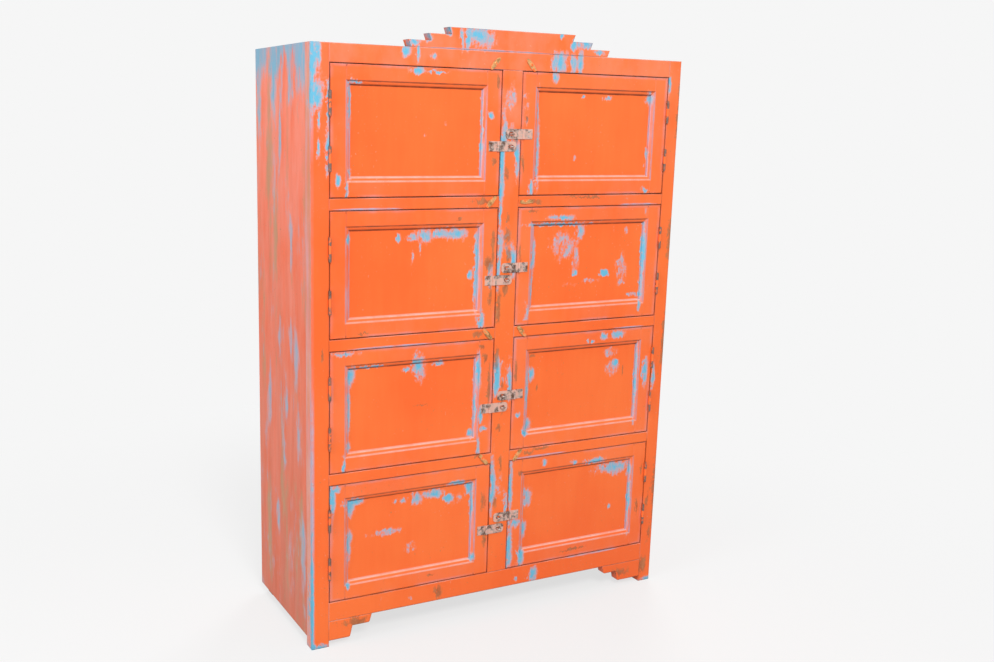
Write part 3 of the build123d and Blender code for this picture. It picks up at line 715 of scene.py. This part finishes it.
def bare_wood(name, along, aged, boards=None):
    """Sawn hardwood that was never painted: brown grain along the board, dust and grey on it.

    Boards laid side by side are given as the axis across them, where the first starts and their pitch. Each
    has its own tone and grain, and the joints between them are dark.
    """
    wood, shade_and_grime_colour = bpy.context.scene.cupboard_wood, bpy.context.scene.cupboard_paint.shade_and_grime_colour
    material, tree = blank_material(name)
    place = add(tree, "TexCoord", out="Object")
    stretch = tuple(0.04 if axis == along else 1.0 for axis in "XYZ")
    fibres = add(tree, "VectorMath", {0: place, 1: stretch}, operation="MULTIPLY")
    tone, joint = 0.5, 0.0
    if boards:
        axis, start, pitch = boards
        count = weighed(tree, -start / pitch, (add(tree, "SeparateXYZ", {0: place}, axis), 1 / pitch))
        number = add(tree, "Math", {0: count}, operation="FLOOR")
        tone = add(tree, "TexWhiteNoise", {"W": number}, "Value", noise_dimensions="1D")
        shift = weighed(tree, 0.0, (number, 0.37))
        fibres = add(tree, "VectorMath", {0: fibres, 1: shift}, operation="ADD")
        share = weighed(tree, -0.5, (add(tree, "Math", {0: count}, operation="FRACT"), 1.0))
        share = add(tree, "Math", {0: share}, operation="ABSOLUTE")
        reach = wood.joint / pitch
        joint = add(tree, "MapRange", {0: share, 1: 0.5 - reach, 2: 0.5 - 0.5 * reach})
    grain, fibre, cloud = [
        add(tree, "TexNoise", {"Vector": vector, "Scale": 1 / size, "Detail": detail, "Roughness": rough})
        for vector, size, detail, rough in (
            (fibres, wood.grain, 6.0, 0.6), (fibres, wood.grain / 4, 3.0, 0.5),
            (place, wood.stain, 4.0, 0.5),
        )
    ]
    ring = weighed(tree, -0.15, (grain, 1.0), (tone, 0.3))
    ring = add(tree, "MapRange", {0: ring, 1: 0.34, 2: 0.66}, interpolation_type="SMOOTHSTEP")
    stain = add(tree, "MapRange", {0: cloud, 1: 0.3, 2: 0.7}, interpolation_type="SMOOTHSTEP")
    dust = weighed(tree, -0.1, (stain, aged), (fibre, 0.25))
    coats = ((ring, wood.pale), (dust, wood.grey), (weighed(tree, 0.0, (joint, 0.85)), shade_and_grime_colour))
    lift = weighed(tree, 0.0, (grain, 0.6), (fibre, 0.4), (joint, -0.6))
    rough = weighed(tree, 0.68, (grain, 0.15))
    relief = {"Height": lift, "Distance": 0.8 * MM}
    finish = {"Roughness": rough, "Specular IOR Level": 0.3}
    return finished(material, tree, wood.dark, coats, relief, finish)


def worn_steel(name, painted, hinges_painted=0.0):
    """Pressed mild steel: bright where the orange coat has worn off again, with rust in the hollows."""
    hardware, top_coat = bpy.context.scene.cupboard_hardware, bpy.context.scene.cupboard_paint.top_coat
    material, tree = blank_material(name)
    place = add(tree, "TexCoord", out="Object")
    blot, grit = [
        add(tree, "TexNoise", {"Vector": place, "Scale": 1 / size, "Detail": detail})
        for size, detail in ((hardware.blot, 5.0), (hardware.grit, 3.0))
    ]

    # The hinges sit far from the middle, and kept more of the paint than the hasps
    across = add(tree, "Math", {0: add(tree, "SeparateXYZ", {0: place}, "X")}, operation="ABSOLUTE")
    outer = add(tree, "MapRange", {0: across, 1: 300 * MM, 2: 400 * MM})
    coated = weighed(tree, painted + 0.5, (blot, -1.0), (grit, 0.25), (outer, hinges_painted))
    coated = add(tree, "MapRange", {0: coated, 1: 0.0, 2: 0.12})
    rusty = add(tree, "MapRange", {0: weighed(tree, 0.0, (blot, 0.7), (grit, 0.4)), 1: 0.52, 2: 0.66})
    rusty = add(tree, "Math", {0: rusty, 1: weighed(tree, 0.0, (outer, 0.8))}, operation="MAXIMUM")
    coat = add(tree, "Mix", {0: outer, 6: hardware.worn_coat, 7: top_coat}, 2, data_type="RGBA")
    coats = ((rusty, hardware.rust), (coated, coat))
    dull = add(tree, "Math", {0: rusty, 1: coated}, operation="MAXIMUM")
    metal = weighed(tree, 0.75, (dull, -0.7))
    rough = weighed(tree, 0.36, (dull, 0.25), (grit, 0.2))
    relief = {"Height": grit, "Distance": 0.15 * MM}
    return finished(material, tree, hardware.steel, coats, relief, {"Metallic": metal, "Roughness": rough})


def tarnished_brass(name):
    """Stamped brass gone dull: ochre metal with dark tarnish and specks of the orange coat."""
    hardware, top_coat = bpy.context.scene.cupboard_hardware, bpy.context.scene.cupboard_paint.top_coat
    material, tree = blank_material(name)
    place = add(tree, "TexCoord", out="Object")
    blot, grit = [
        add(tree, "TexNoise", {"Vector": place, "Scale": 1 / size, "Detail": detail})
        for size, detail in ((hardware.blot, 5.0), (hardware.grit, 3.0))
    ]
    dark = add(tree, "MapRange", {0: weighed(tree, 0.0, (blot, 0.8), (grit, 0.3)), 1: 0.52, 2: 0.74})
    speck = add(tree, "MapRange", {0: weighed(tree, 0.33, (blot, -1.0), (grit, 0.3)), 1: 0.0, 2: 0.08})
    coats = ((dark, hardware.tarnish), (speck, top_coat))
    metal = weighed(tree, 0.6, (speck, -0.55))
    rough = weighed(tree, 0.38, (dark, 0.2), (grit, 0.15))
    relief = {"Height": grit, "Distance": 0.12 * MM}
    return finished(material, tree, hardware.brass, coats, relief, {"Metallic": metal, "Roughness": rough})


def dress(material, *nodes):
    """Puts a material on CAD nodes."""
    for name in nodes:
        slots = frame["nodes"][name].data.materials
        slots.clear()
        slots.append(material)


def door_box(door):
    """Middle of a door on the front plane, and its half size with no bound in depth."""
    lo, hi = [np.array(corner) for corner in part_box(door + "_door_frame")]
    middle, half = (lo + hi) / 2, (hi - lo) / 2
    middle[1], half[1] = FRONT, np.inf
    return middle, half


def head_grid(radius, dome, slot_width, cells):
    """Slotted round head that faces -Y, as two sheets with one rim.

    A square grid of u and v from -1 to 1 is pressed into a disc: x is u times the root of 1 - v v / 2, and
    z likewise. The front bulges as the root of 1 minus the flatness times the squared distance, and dips
    in a slot along z. The back is the same disc, sunk flat behind the rim.
    """
    flatness, slot_depth, sunk_depth = 0.8, 0.7 * dome, 0.5 * dome
    u, v = np.meshgrid(np.linspace(-1, 1, cells + 1), np.linspace(-1, 1, cells + 1))
    x, z = u * np.sqrt(1 - v * v / 2), v * np.sqrt(1 - u * u / 2)
    bulge = dome * np.sqrt(np.clip(1.0 - flatness * (x * x + z * z), 0, 1))
    slot = np.where(np.abs(x) * radius < slot_width / 2, slot_depth, 0.0)
    rim = np.maximum(np.abs(u), np.abs(v)) > 1 - 0.5 / cells
    front = np.where(rim, 0.0, bulge - slot)
    points = np.stack([x * radius, -front, z * radius], axis=-1).reshape(-1, 3)
    sunk = np.stack([x * radius, np.where(rim, 0.0, sunk_depth), z * radius], axis=-1).reshape(-1, 3)
    corner = (np.arange(cells)[:, None] * (cells + 1) + np.arange(cells)).reshape(-1)
    faces = np.stack([corner, corner + 1, corner + cells + 2, corner + cells + 1], axis=1)
    back = faces[:, ::-1] + len(points)
    return np.concatenate([points, sunk]), np.concatenate([faces, back])


def placed_heads(name, head, places, rotation, turns):
    """One mesh of many like heads: each is turned about -Y, faced the given way and moved to its place."""
    points, faces = head
    cosine, sine = np.cos(turns)[:, None], np.sin(turns)[:, None]
    x = points[:, 0] * cosine + points[:, 2] * sine
    z = points[:, 2] * cosine - points[:, 0] * sine
    turned = np.stack([x, np.broadcast_to(points[:, 1], x.shape), z], axis=-1)
    moved = turned @ rotation.T + np.array(places)[:, None, :]
    steps = np.arange(len(places))[:, None, None] * len(points)
    mesh = bpy.data.meshes.new(name)
    mesh.from_pydata(moved.reshape(-1, 3), [], (faces[None] + steps).reshape(-1, 4))
    shell = bmesh.new()
    shell.from_mesh(mesh)
    bmesh.ops.remove_doubles(shell, verts=shell.verts, dist=0.01 * MM)
    bmesh.ops.recalc_face_normals(shell, faces=shell.faces)
    shell.to_mesh(mesh)
    shell.free()
    mesh.shade_smooth()
    piece = bpy.data.objects.new(name, mesh)
    bpy.context.scene.collection.objects.link(piece)
    return piece


def facing(axis):
    """Rotation that takes -Y to the given axis and leaves Z upright."""
    turn = {"-Y": 0, "+X": math.pi / 2, "+Y": math.pi, "-X": -math.pi / 2}[axis]
    return np.array(Matrix.Rotation(turn, 3, "Z"))


class CUPBOARD_OT_paint_case(bpy.types.Operator):
    """Worn orange paint on the front of the case, bleached paint on its sides"""

    bl_idname = "cupboard.paint_case"
    bl_label = "Paint the case"

    def execute(self, context):
        ground = np.array([0, FRONT, 0])
        for timbers, nodes in CASE_NODES.items():
            dress(worn_paint("oil_paint_on_" + timbers, ground, **CASE_WEAR[timbers]), *nodes)
        dress(bleached_paint("bleached_oil_paint", **SIDE_WEAR), "left_side_boards", "right_side_boards")
        return {"FINISHED"}


class CUPBOARD_OT_paint_doors(bpy.types.Operator):
    """Worn orange paint on each door, with its own chips, scrapes and rubs"""

    bl_idname = "cupboard.paint_doors"
    bl_label = "Paint the doors"

    def execute(self, context):
        for door in DOORS:
            middle, half = door_box(door)
            paint = worn_paint("oil_paint_on_" + door + "_door", middle, half=half, **DOOR_WEAR[door])
            dress(paint, door + "_door_frame", door + "_door_panel")
        return {"FINISHED"}


class CUPBOARD_OT_bare_inside(bpy.types.Operator):
    """Bare wood on the inside, the back and the top"""

    bl_idname = "cupboard.bare_inside"
    bl_label = "Bare wood inside"

    def execute(self, context):
        wood = context.scene.cupboard_wood
        back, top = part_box("back_boards"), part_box("top_boards")
        across_back = ("X", back[0].x, (back[1].x - back[0].x) / wood.back_count)
        across_top = ("Y", top[0].y, (top[1].y - top[0].y) / wood.top_count)
        dress(bare_wood("sawn_hardwood_back", "Z", aged=0.6, boards=across_back), "back_boards")
        dress(bare_wood("sawn_hardwood_top", "X", aged=0.5, boards=across_top), "top_boards")
        dress(bare_wood("sawn_hardwood_shelves", "X", aged=0.45), "shelf_boards")
        dress(bare_wood("sawn_hardwood_upright", "Z", aged=0.6), "rear_posts", "centre_partition")
        dress(bare_wood("sawn_hardwood_battens", "Y", aged=0.4), "shelf_bearers")
        return {"FINISHED"}


class CUPBOARD_OT_dress_hardware(bpy.types.Operator):
    """Steel on the hinges, hasps and staples, brass on the turn buttons"""

    bl_idname = "cupboard.dress_hardware"
    bl_label = "Finish the hardware"

    def execute(self, context):
        steel = worn_steel("pressed_mild_steel", painted=-0.06, hinges_painted=0.12)
        dress(steel, *[door + "_door_fittings" for door in DOORS])
        dress(steel, *[door + "_hasp_strap" for door in DOORS])
        rusty = worn_steel("rusty_steel", painted=-0.25, hinges_painted=0.1)
        dress(rusty, "hinge_frame_leaves", "hinge_pins", "hasp_staples")
        brass = tarnished_brass("stamped_brass")
        dress(brass, "turn_button_screws", *[door + "_turn_button" for door in DOORS])
        return {"FINISHED"}


class CUPBOARD_OT_add_screws(bpy.types.Operator):
    """Slotted screws in the hasp leaves and in both leaves of every hinge"""

    bl_idname = "cupboard.add_screws"
    bl_label = "Add the screws"

    def execute(self, context):
        hardware = context.scene.cupboard_hardware
        chance = np.random.default_rng(hardware.nails_seed)
        steel = worn_steel("slotted_steel_screws", painted=-0.25)
        raised = head_grid(hardware.screw_radius, hardware.screw_dome, hardware.slot_width, cells=12)
        sunk = head_grid(hardware.screw_radius, hardware.hinge_dome, hardware.slot_width, cells=8)
        post_places = {"+X": [], "-X": []}
        for door in DOORS:
            away = 1 if door.endswith("left") else -1
            axis = JOINTS[door + "_hasp_swing"]["pos_m"]
            x, y = axis[0] - away * hardware.hasp_reach, axis[1] + hardware.hasp_face
            places = [(x, y, axis[2] + side * hardware.hasp_spread) for side in (-1, 1)]
            screws = placed_heads(
                door + "_hasp_screws", raised, places, facing("-Y"), chance.uniform(0, math.pi, len(places))
            )
            pin = JOINTS[door + "_door_swing"]["pos_m"]
            middle = door_box(door)[0][2]
            heights = [
                middle + hinge * hardware.hinge_step + step * hardware.screw_step
                for hinge in (-1, 1) for step in (-1, 0, 1)
            ]
            depth = pin[1] + hardware.hinge_reach
            gap = away * hardware.hinge_face
            into_gap, out_of_gap = ("-X", "+X") if away > 0 else ("+X", "-X")
            leaf = [(pin[0] + gap, depth, z) for z in heights]
            hinge_screws = placed_heads(
                door + "_hinge_screws", sunk, leaf, facing(into_gap), chance.uniform(0, math.pi, len(leaf))
            )
            post_places[out_of_gap] += [(pin[0] - gap, depth, z) for z in heights]
            for piece in (screws, hinge_screws):
                piece.data.materials.append(steel)
                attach(piece, door + "_door")
        for side, places in post_places.items():
            name = "left_post_hinge_screws" if side == "+X" else "right_post_hinge_screws"
            piece = placed_heads(name, sunk, places, facing(side), chance.uniform(0, math.pi, len(places)))
            piece.data.materials.append(steel)
            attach(piece, "case")
        return {"FINISHED"}


class CUPBOARD_OT_add_nails(bpy.types.Operator):
    """Nail heads in the back boards, a pair in every board at each shelf"""

    bl_idname = "cupboard.add_nails"
    bl_label = "Add the nails"

    def execute(self, context):
        hardware, wood = context.scene.cupboard_hardware, context.scene.cupboard_wood
        chance = np.random.default_rng(hardware.nails_seed)
        head = head_grid(hardware.nail_radius, hardware.nail_dome, slot_width=0.0, cells=6)
        lo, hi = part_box("back_boards")
        width = (hi.x - lo.x) / wood.back_count
        columns = [board + part for board in range(wood.back_count) for part in (0.25, 0.75)]
        across = [lo.x + column * width for column in columns]
        shelf_lo, shelf_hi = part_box("shelf_boards")
        lowest, highest = shelf_lo.z + wood.half_shelf, shelf_hi.z - wood.half_shelf
        levels = np.linspace(lowest, highest, wood.shelf_levels).tolist() + [hi.z - wood.top_inset]
        places = np.array([(x, hi.y, z) for z in levels for x in across])
        places[:, (0, 2)] += chance.normal(0, hardware.nail_scatter, (len(places), 2))
        nails = placed_heads("back_nails", head, places, facing("+Y"), np.zeros(len(places)))
        nails.data.materials.append(worn_steel("rusty_nails", painted=-0.4))
        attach(nails, "case")
        return {"FINISHED"}


class CUPBOARD_OT_set_stage(bpy.types.Operator):
    """Pale floor, soft light and the camera"""

    bl_idname = "cupboard.set_stage"
    bl_label = "Set the stage"

    def execute(self, context):
        self.lay_floor(context)
        self.hang_lights(context)
        self.stand_camera(context)
        context.scene.view_settings.view_transform = "Standard"
        return {"FINISHED"}

    def lay_floor(self, context):
        """Flat disc: rings of growing radius, each point at the ring's radius and its own angle."""
        stage = context.scene.cupboard_stage
        rings, spokes = 24, 96
        radius = stage.floor_radius * np.linspace(0, 1, rings + 1)[1:, None] ** 2
        bearing = np.linspace(0, 2 * np.pi, spokes, endpoint=False)[None, :]
        x, y = radius * np.cos(bearing), radius * np.sin(bearing)
        points = np.stack([x, y, np.zeros_like(x)], axis=-1).reshape(-1, 3)
        spoke = np.arange(spokes)
        following = (spoke + 1) % spokes
        ring = np.arange(rings - 1)[:, None] * spokes
        inner, outer = (ring + spoke, ring + following), (ring + spokes + following, ring + spokes + spoke)
        quads = np.stack([inner[0], outer[1], outer[0], inner[1]], axis=-1)
        mesh = bpy.data.meshes.new("floor")
        mesh.from_pydata(points, [], quads.reshape(-1, 4).tolist() + [spoke.tolist()])
        floor = bpy.data.objects.new("floor", mesh)
        context.scene.collection.objects.link(floor)
        mesh.materials.append(self.pale_floor(stage))

    def pale_floor(self, stage):
        """Matt paper: to the camera mostly its own even tone, so that only the soft shadow tints it."""
        material, tree = blank_material("matt_paper")
        place = add(tree, "TexCoord", out="Object")
        reach = add(tree, "VectorMath", {0: place}, "Value", operation="LENGTH")
        rise = {0: reach, 1: stage.shade_far, 2: stage.shade_near, 4: stage.shade}
        shade = add(tree, "MapRange", rise, interpolation_type="SMOOTHSTEP")
        paper = add(tree, "BsdfDiffuse", {"Color": stage.paper})
        dim = add(tree, "BsdfDiffuse", {"Color": stage.bounce})
        glow = add(tree, "Emission", {"Color": stage.backdrop, "Strength": 1.0})
        seen = add(tree, "MixShader", {0: shade, 1: glow, 2: paper})
        both = add(tree, "MixShader", {0: self.seen_directly(tree), 1: dim, 2: seen})
        add(tree, "OutputMaterial", {"Surface": both})
        return material

    def seen_directly(self, tree):
        """1 where the camera, a reflection or glass sees the surface, 0 where it only lights others."""
        seen = 0.0
        for ray in ("Is Camera Ray", "Is Glossy Ray", "Is Transmission Ray"):
            seen = add(tree, "Math", {0: add(tree, "LightPath", out=ray), 1: seen}, operation="MAXIMUM")
        return seen

    def hang_lights(self, context):
        """Even sky, a soft key high in front, a fill on the left and a soft light behind."""
        stage = context.scene.cupboard_stage
        world = bpy.data.worlds.new("even_sky")
        context.scene.world = world
        world.use_nodes = True
        tree = world.node_tree
        tree.nodes.clear()
        even = add(tree, "Background", {"Color": (1, 1, 1), "Strength": stage.sky})
        seen = add(tree, "Background", {"Color": stage.backdrop, "Strength": 1.0})
        sky = add(tree, "MixShader", {0: self.seen_directly(tree), 1: even, 2: seen})
        add(tree, "OutputWorld", {"Surface": sky})
        # Each lamp's name, power in watts, and width, place and target in metres
        lamps = (
            ("key", stage.key, 1.8, (-1.2, -4.6, 4.4), (0.0, 0.0, 0.7)),
            ("fill", stage.fill, 2.4, (-4.2, -1.2, 2.6), (-0.5, 0.0, 0.8)),
            ("rear", stage.rear, 2.4, (3.2, 3.8, 3.0), (0.3, 0.0, 0.8)),
        )
        for name, watts, width, where, target in lamps:
            data = bpy.data.lights.new(name, "AREA")
            data.energy, data.shape, data.size = watts, "DISK", width
            lamp = bpy.data.objects.new(name, data)
            context.scene.collection.objects.link(lamp)
            aim = np.array(target) - np.array(where)
            lamp.location = where
            lamp.visible_glossy = name != "rear"
            pitch = math.acos(-aim[2] / np.linalg.norm(aim))
            lamp.rotation_euler = (pitch, 0, math.atan2(-aim[0], aim[1]))

    def stand_camera(self, context):
        """Camera at eye height, to the left of the front."""
        stage = context.scene.cupboard_stage
        data = bpy.data.cameras.new("camera")
        data.lens, data.sensor_width = stage.lens, 36.0
        data.shift_x, data.shift_y = stage.shift
        camera = bpy.data.objects.new("camera", data)
        context.scene.collection.objects.link(camera)
        aim = Euler((math.pi / 2 + stage.tilt, 0, stage.heading)).to_matrix()
        turn = aim @ Matrix.Rotation(stage.roll, 3, "Z")
        camera.matrix_world = Matrix.Translation(stage.eye) @ turn.to_4x4()
        context.scene.camera = camera


class CUPBOARD_PT_panel(bpy.types.Panel):
    """Sizes, colours and steps of the cupboard"""

    bl_idname = "CUPBOARD_PT_panel"
    bl_label = "Locker cupboard"
    bl_space_type = "VIEW_3D"
    bl_region_type = "UI"
    bl_category = "Cupboard"

    def draw(self, context):
        for name, group in SETTINGS.items():
            box = self.layout.box()
            for key in group.__annotations__:
                box.prop(getattr(context.scene, name), key)
        for operator in OPERATORS:
            self.layout.operator(operator.bl_idname)


SETTINGS = {
    "cupboard_paint": CupboardPaint,
    "cupboard_wood": CupboardWood,
    "cupboard_hardware": CupboardHardware,
    "cupboard_stage": CupboardStage,
}
OPERATORS = (
    CUPBOARD_OT_paint_case,
    CUPBOARD_OT_paint_doors,
    CUPBOARD_OT_bare_inside,
    CUPBOARD_OT_dress_hardware,
    CUPBOARD_OT_add_screws,
    CUPBOARD_OT_add_nails,
    CUPBOARD_OT_set_stage,
)


def register():
    """Registers the settings, the operators and the panel."""
    for name, group in SETTINGS.items():
        bpy.utils.register_class(group)
        setattr(bpy.types.Scene, name, PointerProperty(type=group))
    for operator in OPERATORS:
        bpy.utils.register_class(operator)
    bpy.utils.register_class(CUPBOARD_PT_panel)


def unregister():
    """Takes away what register added, in reverse."""
    bpy.utils.unregister_class(CUPBOARD_PT_panel)
    for operator in reversed(OPERATORS):
        bpy.utils.unregister_class(operator)
    for name, group in reversed(SETTINGS.items()):
        delattr(bpy.types.Scene, name)
        bpy.utils.unregister_class(group)


def main():
    """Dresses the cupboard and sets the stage."""
    register()
    bpy.ops.cupboard.paint_case()
    bpy.ops.cupboard.paint_doors()
    bpy.ops.cupboard.bare_inside()
    bpy.ops.cupboard.dress_hardware()
    bpy.ops.cupboard.add_screws()
    bpy.ops.cupboard.add_nails()
    bpy.ops.cupboard.set_stage()


if __name__ == "__main__":
    main()
